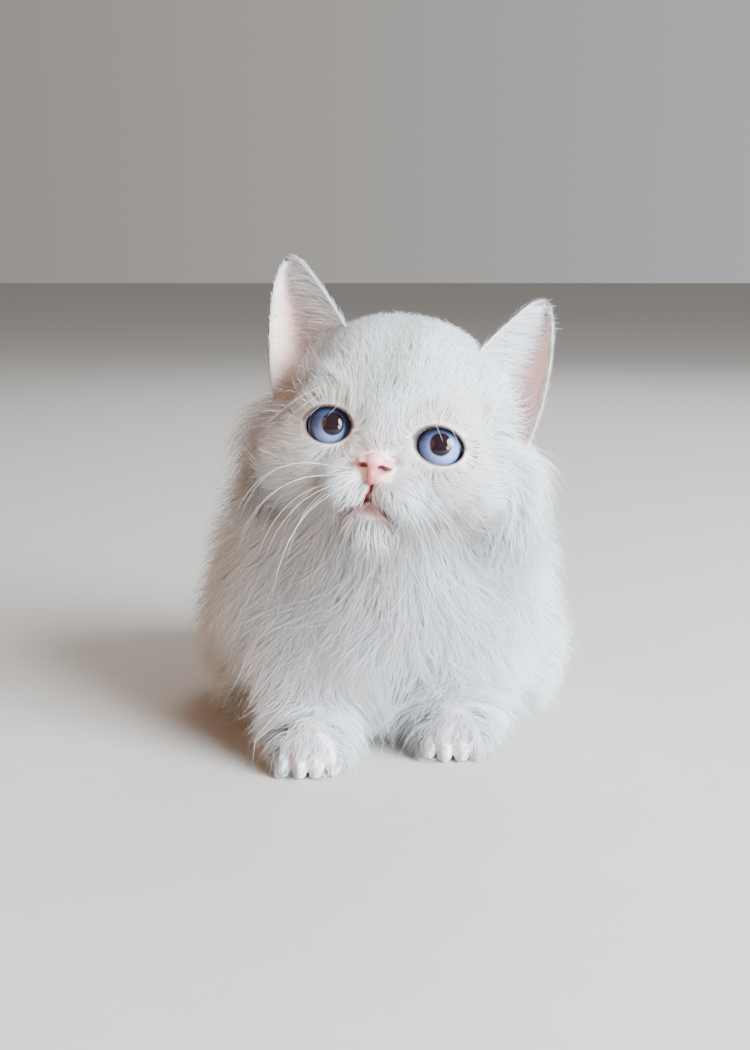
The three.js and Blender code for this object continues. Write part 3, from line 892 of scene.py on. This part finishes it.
def eye_colour(side, reach, swing, height):
    """By the angle from the pupil's middle, the direction round it and the height over it."""
    pupil = PUPIL_ANGLE + 2.5 * np.abs(np.sin(swing)) ** 1.5
    fibre = rng.normal(0, 1, FIBRES)
    streak = np.interp(swing, np.linspace(-math.pi, math.pi, FIBRES), fibre)
    colour = IRIS_BLUE * (1 + 0.12 * streak[:, None])
    # painted light: the iris lighter towards its bottom
    colour = mixed(colour, IRIS_LIT, smooth_step(-1, 5, -height) * 0.9)
    colour = mixed(colour, IRIS_SHADE, smooth_step(*LID_SHADE[side], height) * 0.9)
    colour = mixed(colour, IRIS_EDGE, smooth_step(50, IRIS_ANGLE - 4, reach) * 0.9)
    colour = mixed(colour, PUPIL_DARK, 1 - smooth_step(0, 2.5, reach - pupil))
    return mixed(colour, EYE_WHITE, smooth_step(IRIS_ANGLE, IRIS_ANGLE + 2, reach))


def eye_piece(side, material):
    centre = to_body(eye_centre(side))
    gaze = unit(GAZE_AT - centre)
    right = unit(np.cross(gaze, vec(0, 0, 1)))
    up = np.cross(right, gaze)
    verts, faces = eye_ball(gaze, right, up)
    sideways, height = verts @ right, verts @ up
    reach = np.degrees(np.arctan2(np.hypot(sideways, height), verts @ gaze))
    mesh = bpy.data.meshes.new("eye")
    mesh.from_pydata(metres(verts + centre).tolist(), [], faces)
    paint(mesh, eye_colour(side, reach, np.arctan2(height, sideways), height))
    mesh.polygons.foreach_set("use_smooth", np.full(len(mesh.polygons), True))
    name = "eye_right" if side < 0 else "eye_left"
    obj = add_object(name + "_ball", mesh, material)
    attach(obj, "root")
    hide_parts(name)


eye_look = eye_material()
for eye_side in SIDES:
    eye_piece(eye_side, eye_look)


# Strands: tapered three-sided blades, each along its own line
FLATNESS = 0.55
ROOT_SHADE = 0.97
PATCH_SIZE = 0.003


def strand_mesh(name, lines, widths, normals, colours, seats, softness):
    """A mesh of strands, each with one normal, one colour and one seat on the unwrap.

    lines is (strands, stations, 3) and widths (strands, stations). The softer a strand, the
    more it is shaded by the coat's normal instead of its own sides.
    """
    count, stations, _ = lines.shape
    heading = unit(np.gradient(lines, axis=1))
    across = unit(np.cross(heading, normals[:, None, :]))
    above = np.cross(across, heading)
    rings = stations - 1
    corner = np.radians([90, 210, 330])
    ring = lines[:, :rings, None] + widths[:, :rings, None, None] * 0.5 * (
        np.cos(corner)[:, None] * across[:, :rings, None]
        + FLATNESS * np.sin(corner)[:, None] * above[:, :rings, None])
    verts = np.concatenate([ring.reshape(count, rings * 3, 3), lines[:, -1:, :]], axis=1)
    per = rings * 3 + 1
    faces = []
    for r in range(rings - 1):
        for c in range(3):
            a, b = r * 3 + c, r * 3 + (c + 1) % 3
            faces.append((a, b + 3, b))
            faces.append((a, a + 3, b + 3))
    top = (rings - 1) * 3
    for c in range(3):
        faces.append((top + (c + 1) % 3, top + c, per - 1))
    faces.append((0, 1, 2))
    faces = np.array(faces)
    all_faces = (faces[None] + np.arange(count)[:, None, None] * per).reshape(-1, 3)
    share = np.concatenate([np.repeat(np.arange(rings) / rings, 3), [1.0]])
    tints = np.repeat(colours[:, None, :], per, axis=1)
    tints = tints * (ROOT_SHADE + (1 - ROOT_SHADE) * share)[None, :, None]
    obj = mesh_object(name, verts.reshape(-1, 3), all_faces, coat_look, tints.reshape(-1, 3))
    breadth = np.concatenate([np.tile([0.5, -0.25, -0.25], rings), [0.0]])
    patch = np.stack([share - 0.5, breadth], axis=-1) * PATCH_SIZE
    place = (seats[:, None, :] + patch[None]).reshape(-1, 2)
    layer = obj.data.uv_layers.new(name="OFBake")
    layer.uv.foreach_set("vector", place[all_faces.ravel()].astype(np.float32).ravel())
    tip_spine = lines[:, -1:] - normals[:, None] * 0.1
    spine = np.concatenate([np.repeat(lines[:, :rings], 3, axis=1), tip_spine], axis=1)
    soft = unit(normals[:, None, :] * softness + unit(verts - spine) * (1 - softness))
    obj.data.normals_split_custom_set_from_vertices(soft.reshape(-1, 3))
    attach(obj, "root")
    return obj


# The unwrap: three columns and two rows of tiles, one for each way the skin faces
TILES = {(0, 1): (0, 0), (0, -1): (1, 0), (1, 1): (2, 0),
         (1, -1): (0, 1), (2, 1): (1, 1), (2, -1): (2, 1)}
CUBE_LOW = np.array([-80, -90, -5])
CUBE_SIZE = 200
TILE_MARGIN = 0.04


def unwrapped(p, normal):
    """A place for each root on an unwrap of the skin into six sides."""
    axis = np.argmax(np.abs(normal), axis=1)
    facing = np.sign(normal[np.arange(len(p)), axis]).astype(int)
    scaled = (p - CUBE_LOW) / CUBE_SIZE * (1 - 2 * TILE_MARGIN) + TILE_MARGIN
    seat = np.zeros((len(p), 2))
    for (a, sign), (column, row) in TILES.items():
        pick = (axis == a) & (facing == sign)
        u, v = [k for k in range(3) if k != a]
        seat[pick, 0] = (column + scaled[pick, u]) / 3
        seat[pick, 1] = (row + scaled[pick, v]) / 2
    return seat


def head_lie(q):
    """Away from the nose over the face, and back and down over the cheeks."""
    x, y, z = np.moveaxis(q, -1, 0)
    away = unit(np.stack([x, 6 + np.maximum(y, 0) * 0.5, z + 11], axis=-1))
    for side in SIDES:
        from_eye = (q - eye_centre(side)) * vec(1, 0, 1)
        close = np.exp(-(np.linalg.norm(from_eye, axis=-1) / 11.5) ** 4) * (y < 16)
        away = unit(away + unit(from_eye) * close[..., None] * 3.5)
    droop = smooth_step(6, 26, y) * (1 - smooth_step(14, 32, z))
    away = away + vec(0, 0.1, -0.9) * droop[..., None]
    chin = np.exp(-((x / 12) ** 2 + ((z + 27) / 8) ** 2))[..., None]
    away = unit(away + vec(0, -0.1, -1.6) * chin)
    outward = np.stack([np.sign(x), np.full_like(x, 0.3), np.full_like(x, -0.6)], axis=-1)
    return unit(away + outward * (1.5 * beside_mouth(q))[..., None])


def tail_lie(p):
    closest = np.argmin([np.linalg.norm(p - t, axis=-1) for t in TAIL], axis=0)
    return unit(np.gradient(TAIL, axis=0))[closest]


def coat_lie(p):
    """Down and back over the body in slow waves, down the legs and forward over the paws."""
    weights = region_weights(p)
    x, y, z = p.T
    wave = np.sin(z / 9 + x / 13) + np.sin(x / 7 - z / 15 + 2) + np.sin(y / 8 + z / 11)
    body = np.stack([x * 0.014 + 0.16 * wave,
                     0.25 + 0.35 * smooth_step(-25, 25, y) + 0.1 * wave,
                     np.full(len(p), -1.0)], axis=-1)
    legs = np.broadcast_to(vec(0, -0.25, -1), p.shape)
    high = smooth_step(5, 11, z)
    paws = np.stack([np.zeros_like(high), high * 0.45 - 1, -0.35 - 0.65 * high], axis=-1)
    lies = [head_lie(to_head(p)) @ HEAD_TURN.T, body, body, legs, paws, paws, tail_lie(p)]
    return unit(sum(w[:, None] * lie for w, lie in zip(weights, lies)))


# The coat keeps within the solids' box made larger by a share of its size and some metres
BOX_SHARE = 0.025
BOX_ROOM = 0.009
room = (cad_high - cad_low) * BOX_SHARE + BOX_ROOM


class Roots:
    """Seats for strands, drawn at random over the skin's triangles."""

    def __init__(self):
        tri = np.vstack([skin_faces[:, [0, 1, 2]], skin_faces[:, [0, 2, 3]]])
        self.a, self.b, self.c = (skin_verts[tri[:, k]] for k in range(3))
        cross = np.cross(self.b - self.a, self.c - self.a)
        self.area = np.linalg.norm(cross, axis=1) / 2
        self.middle = (self.a + self.b + self.c) / 3

    def draw(self, density):
        """density is strands per square millimetre at each triangle."""
        count = rng.poisson(self.area * density)
        pick = np.repeat(np.arange(len(count)), count)
        u, v = rng.random((2, len(pick)))
        swap = u + v > 1
        u[swap], v[swap] = 1 - u[swap], 1 - v[swap]
        return (self.a[pick] + (self.b[pick] - self.a[pick]) * u[:, None]
                + (self.c[pick] - self.a[pick]) * v[:, None]).astype(np.float32)


def bare_places(p):
    """0 at lips, nose, eyes, toe gaps and soles, where no coat grows, and 1 elsewhere."""
    q = to_head(p)
    keep = smooth_step(0.4, 1.4, p[:, 2])
    for side in SIDES:
        keep = keep * np.where(q[:, 1] < 14, smooth_step(0.1, 0.5, eye_slit(q, side)), 1)
    keep = keep * np.where(q[:, 1] < 5, smooth_step(0.3, 0.8, mouth_creases(q)), 1)
    keep = keep * smooth_step(0.2, 0.7, toe_gaps(p))
    nose_near = np.linalg.norm((q - NOSE_AT - vec(0, 2, -0.8)) / vec(5.6, 7, 4.2), axis=1)
    keep = keep * smooth_step(0.9, 1.1, nose_near)
    lower_lip = np.exp(-((q[:, 0] / 4.8) ** 4 + ((q[:, 2] + 23.2) / 2.1) ** 4)) * (q[:, 1] < 4)
    return keep * (1 - 0.9 * lower_lip)


def nearest(points, centres):
    """The number of the nearest centre to each point."""
    tree = KDTree(len(centres))
    for k, c in enumerate(centres):
        tree.insert(c, k)
    tree.balance()
    return np.array([tree.find(p)[1] for p in points])


ROOT_SINK = 0.4
LOWEST_STRAND = 0.5


def grow(roots, length, height, stations, stray, clump_size, clump_pull):
    """Lines that leave the skin, follow the lie and rise to their height.

    The strands of a clump stray together and each by itself, and their tips are pulled together.
    """
    count = len(roots)
    centres = roots[rng.permutation(count)[:max(1, count // clump_size)]]
    home = nearest(roots, centres)
    wander = rng.normal(0, 1, (len(centres), 3)).astype(np.float32)[home] * stray
    own = rng.normal(0, 1, (count, 3)).astype(np.float32) * stray * 0.8
    jitter = rng.uniform(0.75, 1.15, count)
    place = roots.copy()
    line = []
    stride = length / (stations - 1)
    for k in range(stations):
        share = k / (stations - 1)
        normal = slope(furred_skin, place)
        rise = height * jitter * (0.35 * share + 0.65 * math.sin(share * math.pi / 2))
        rise = rise - ROOT_SINK * (k == 0)
        place = place + normal * (rise - furred_skin(place))[:, None]
        place[:, 2] = np.maximum(place[:, 2], LOWEST_STRAND)
        line.append(place)
        heading = coat_lie(place) + wander + own * (1 + share)
        heading = unit(heading - normal * (heading * normal).sum(axis=1, keepdims=True))
        place = place + heading * stride[:, None]
    line = np.stack(line, axis=1)
    shares = np.linspace(0, 1, stations)[None, :, None]
    line = line + (centres[home] - roots)[:, None, :] * clump_pull * shares ** 1.5
    line[:, :, 2] = np.maximum(line[:, :, 2], LOWEST_STRAND)
    return line.astype(np.float32)


# Least cosines between the lengths of a strand, and between a strand and the lie at its root
KINK_COSINE = 0.5
LIE_COSINE = 0.2


def well_grown(lines, roots):
    """Which lines keep within the box, aren't kinked, follow the lie and don't cross an eye."""
    seen = metres(lines)
    fits = ((seen > cad_low - room) & (seen < cad_high + room)).all(axis=(1, 2))
    run = unit(np.diff(lines, axis=1))
    bend = (run[:, 1:] * run[:, :-1]).sum(axis=2).min(axis=1)
    along = (unit(lines[:, -1] - lines[:, 0]) * coat_lie(roots)).sum(axis=1)
    fits &= (bend > KINK_COSINE) & (along > LIE_COSINE)
    q = to_head(lines)
    for side in SIDES:
        over_eye = (eye_slit(q, side) < -0.1) & (q[..., 1] < 14)
        fits &= ~over_eye.any(axis=1)
    return fits


def blades(name, roots, stations, width, softness, lift=1.0, stretch=1.0, **clumping):
    """Strands of the coat, longer on the chest than their height alone would make them."""
    height = coat_height(roots) * lift
    chest = 1 - smooth_step(-32, -12, roots[:, 1])
    chest = chest * (1 - smooth_step(70, 90, roots[:, 2])) * smooth_step(6, 12, height)
    length = (0.8 + 2.4 * smooth_step(0.7, 3, height) + height * 1.25) * (1 + 0.35 * chest)
    length = length * stretch * rng.uniform(0.8, 1.15, len(roots))
    lines = grow(roots, length, height, stations, **clumping)
    fits = well_grown(lines, roots)
    lines, roots = lines[fits], roots[fits]
    normals = slope(furred_skin, roots)
    taper = np.interp(np.linspace(0, 1, stations), [0, 0.35, 1], [0.8, 1, 0.0])
    widths = width * rng.uniform(0.75, 1.25, (len(roots), 1)) * taper[None]
    colours = coat_colour(roots) * rng.uniform(0.95, 1.03, (len(roots), 1))
    return strand_mesh(name, lines, widths, normals, np.minimum(colours, BRIGHTEST),
                       unwrapped(roots, normals), softness)


def facial(p):
    x, y, z = to_head(p).T
    return (y < 22) & (np.abs(x) < 40) & (z > -38)


strand_share = 1.0
roots_of = Roots()
places = roots_of.middle
open_skin = bare_places(places)
long_haired = smooth_step(5, 11, coat_height(places))
exposed = smooth_step(-0.9, -0.4, slope(body_skin, places)[:, 2])
long_density = long_haired * open_skin * (0.35 + 0.65 * exposed)
short_density = (1 - long_haired) * open_skin

# Layers of the coat: strands per square millimetre, slot, and how the strands grow
LAYERS = {
    "coat_long": (1.75 * long_density, "coat", dict(
        stations=4, width=0.235, stray=0.25, clump_size=26, clump_pull=0.27, softness=0.95)),
    "coat_short": (short_density * np.where(facial(places), 5.2, 1.6), "face_fur", dict(
        stations=3, width=0.3, stray=0.16, clump_size=8, clump_pull=0.3, softness=0.7)),
    "coat_stray": (0.07 * long_density, "coat", dict(
        stations=4, width=0.2, stray=0.26, clump_size=3, clump_pull=0.2, softness=0.6,
        lift=1.25, stretch=1.1)),
}
PIECE_TRIANGLES = 190000


def coat_layer(name, density, slot, growth):
    """A layer's strands, cut into pieces of limited size from the floor up."""
    roots = roots_of.draw(density * strand_share)
    triangles = len(roots) * (6 * growth["stations"] - 8)
    parts = max(1, math.ceil(triangles / PIECE_TRIANGLES))
    order = np.argsort(roots[:, 2], kind="stable")
    for number, chunk in enumerate(np.array_split(order, parts)):
        blades(f"{name}_{number + 1}", roots[chunk], **growth)


for layer_name, layer in LAYERS.items():
    coat_layer(layer_name, *layer)


# Ear fur: short over the back and rim, and long wisps across the cup from its inner edge. For
# each kind its strands' number, length and width, and how much shorter they are at the tip.
EAR_FUR = {
    "back": (5200, 3.4, 0.3, 0.35),
    "rim": (1700, 2.8, 0.2, 0.3),
    "wisps": (2100, 15, 0.22, 0.55),
}
EAR_SOFTNESS = 0.45


def ear_roots(kind, count):
    """Where an ear's strands grow: their share of the way up and their place across."""
    share = rng.uniform(-0.02, 0.97, count)
    if kind == "wisps":
        share = rng.uniform(-0.02, 0.78, count)
        across = 0.62 * rng.beta(1.0, 2.6, count)
    elif kind == "rim":
        outer = rng.random(count) < 0.5
        share = np.where(rng.random(count) < 0.25, rng.uniform(0.85, 0.98, count), share)
        across = np.where(outer, 1 - 0.3 * rng.beta(1, 7, count), rng.beta(1, 8, count))
    else:
        across = rng.uniform(0, 1, count)
    return share.astype(np.float32), across.astype(np.float32)


def ear_coat(side, kind):
    count, length, width, tip_loss = EAR_FUR[kind]
    count = int(count * strand_share)
    share, across = ear_roots(kind, count)
    root = ear_leaf(side, share, across)
    normal = ear_normal(side, share, across)
    up, over = (unit(way) for way in ear_ways(side, share, across, 0.02))
    stray = rng.normal(0, 1, (count, 3))
    face = normal if kind == "back" else -normal
    if kind == "back":
        start, heading = root + normal * 0.3, unit(up + normal * 0.25 + stray * 0.2)
        bend = up * 0.25 - normal * 0.1
    elif kind == "rim":
        away = over * np.sign(across - 0.5)[:, None]
        start = root - normal * 0.2
        heading = unit(up + away * 0.25 + face * 0.25 + stray * 0.22)
        bend = up * 0.2
    else:
        start = root - normal * 0.2
        heading = unit(over * 0.45 + up * 1.05 + face * 0.6 + stray * 0.28)
        bend = over * 0.45 - face * 0.1
    long = (length * rng.uniform(0.55, 1.15, count) * (1 - tip_loss * share))[:, None]
    middle = start + heading * long * 0.5 + bend * long * 0.1
    end = start + heading * long + bend * long * 0.4
    lines = to_body(np.stack([start, middle, end], axis=1).astype(np.float32))
    face = face @ HEAD_TURN.T
    widths = width * rng.uniform(0.7, 1.2, (count, 1)) * np.array([[0.9, 0.8, 0]])
    colours = np.broadcast_to(WHITE, (count, 3)) * rng.uniform(0.96, 1.03, (count, 1))
    piece = strand_mesh(f"ear_{'right' if side < 0 else 'left'}_{kind}", lines, widths, face,
                        np.minimum(colours, BRIGHTEST), unwrapped(lines[:, 0], face),
                        EAR_SOFTNESS)


for ear_side in SIDES:
    for fur_kind in EAR_FUR:
        ear_coat(ear_side, fur_kind)


LIP_ROWS, LIP_COLUMNS, BROW_WHISKERS = 4, 3, 4
WHISKER_WIDTH = 0.23
WHISKER_WHITE = vec(0.95, 0.95, 0.95)


def whiskers():
    """Those of the lip sweep out and hang down, and those of the brow arch over the eye."""
    lines = []
    t = np.linspace(0, 1, 9)[:, None]
    for side in SIDES:
        for row in range(LIP_ROWS):
            for k in range(LIP_COLUMNS):
                root = vec(side * (8.5 + 2.0 * k), -5.4 + 1.9 * k, -13.2 - 2.0 * row)
                long = 52 - 6 * row - 4 * k + rng.uniform(-6, 6)
                out = unit(vec(side, -0.12 + 0.22 * k, 0.2 - 0.3 * row + rng.uniform(-0.1, 0.1)))
                drop = vec(side * -0.42, 0.3, -0.62 + rng.uniform(-0.12, 0.12))
                lines.append(root + out * long * t + drop * long * 0.8 * t ** 2.1)
        for k in range(BROW_WHISKERS):
            root = vec(side * (11 + 2.6 * k), 0.8 + 0.5 * k, 9.5 + 0.5 * k)
            out = unit(vec(side * (0.2 + 0.25 * k), -0.75, 0.75))
            long = 15 + 3 * k
            drop = vec(side * 0.45, 0.3, -1.0)
            lines.append(root + out * long * 0.6 * t + drop * long * t ** 2)
    lines = to_body(np.array(lines, np.float32))
    widths = WHISKER_WIDTH * np.linspace(1, 0.15, len(t))[None] * np.ones((len(lines), 1))
    face = np.broadcast_to(HEAD_TURN @ vec(0, -1, 0), (len(lines), 3))
    colours = np.broadcast_to(WHISKER_WHITE, (len(lines), 3))
    seats = unwrapped(lines[:, 0], face)
    return strand_mesh("whiskers", lines, widths, face, colours, seats, 0.3)


whiskers()


# Floor, light and camera, in metres
FLOOR_HALF = 12.0
FLOOR_COLOUR = (0.47, 0.43, 0.38)

# Name: place, the height of what it shines on, size, power and colour
LIGHTS = {
    "window": ((1.0, -0.85, 0.75), 0.08, 0.9, 138, (0.75, 0.87, 1.0)),
    "room": ((-1.1, -0.8, 0.6), 0.08, 1.2, 9, (1.0, 0.5, 0.22)),
    "board": ((0.5, -0.8, 0.2), 0.1, 0.3, 7, (0.97, 0.97, 1.0)),
    "back": ((0.3, 1.1, 1.0), 0.08, 0.9, 12, (0.92, 0.95, 1.0)),
}
# Light from all round: warm and dim from -X, bluish and bright from +X
WALLS = [(0.0, (0.15, 0.085, 0.045)), (0.5, (0.42, 0.4, 0.38)), (1.0, (0.66, 0.76, 0.9))]


def floor():
    mesh = bpy.data.meshes.new("floor")
    corners = [(-1, -1), (1, -1), (1, 1), (-1, 1)]
    mesh.from_pydata([(x * FLOOR_HALF, y * FLOOR_HALF, 0) for x, y in corners], [],
                     [(0, 1, 2, 3)])
    add_object("floor", mesh, floor_material())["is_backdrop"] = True


def area_light(name, at, target_height, size, power, colour):
    data = bpy.data.lights.new(name, "AREA")
    data.shape = "DISK"
    data.size = size
    data.energy = power
    data.color = colour
    obj = add_object(name, data)
    obj.location = at
    heading = Vector((0, 0, target_height)) - Vector(at)
    obj.rotation_euler = heading.to_track_quat("-Z", "Y").to_euler()


def lights():
    for name, light in LIGHTS.items():
        area_light(name, *light)
    world = bpy.data.worlds.new("studio")
    bpy.context.scene.world = world
    world.use_nodes = True
    tree = world.node_tree
    direction = node(tree, "TexCoord", {}).outputs["Generated"]
    split = node(tree, "SeparateXYZ", {0: direction})
    half = node(tree, "Math", {0: split.outputs["X"], 1: 0.5, 2: 0.5}, operation="MULTIPLY_ADD")
    background = tree.nodes["Background"]
    tree.links.new(ramp(tree, half.outputs[0], WALLS), background.inputs["Color"])
    background.inputs["Strength"].default_value = 1.0


def camera():
    data = bpy.data.cameras.new("camera")
    data.sensor_width = SENSOR_WIDTH
    data.lens = SENSOR_WIDTH * FOCAL_PIXELS / LONG_SIDE_PIXELS
    data.clip_start = 0.01
    obj = add_object("camera", data)
    obj.location = metres(CAMERA_AT)
    obj.rotation_euler = (math.radians(90 - CAMERA_PITCH), 0, 0)
    bpy.context.scene.camera = obj


floor()
lights()
camera()
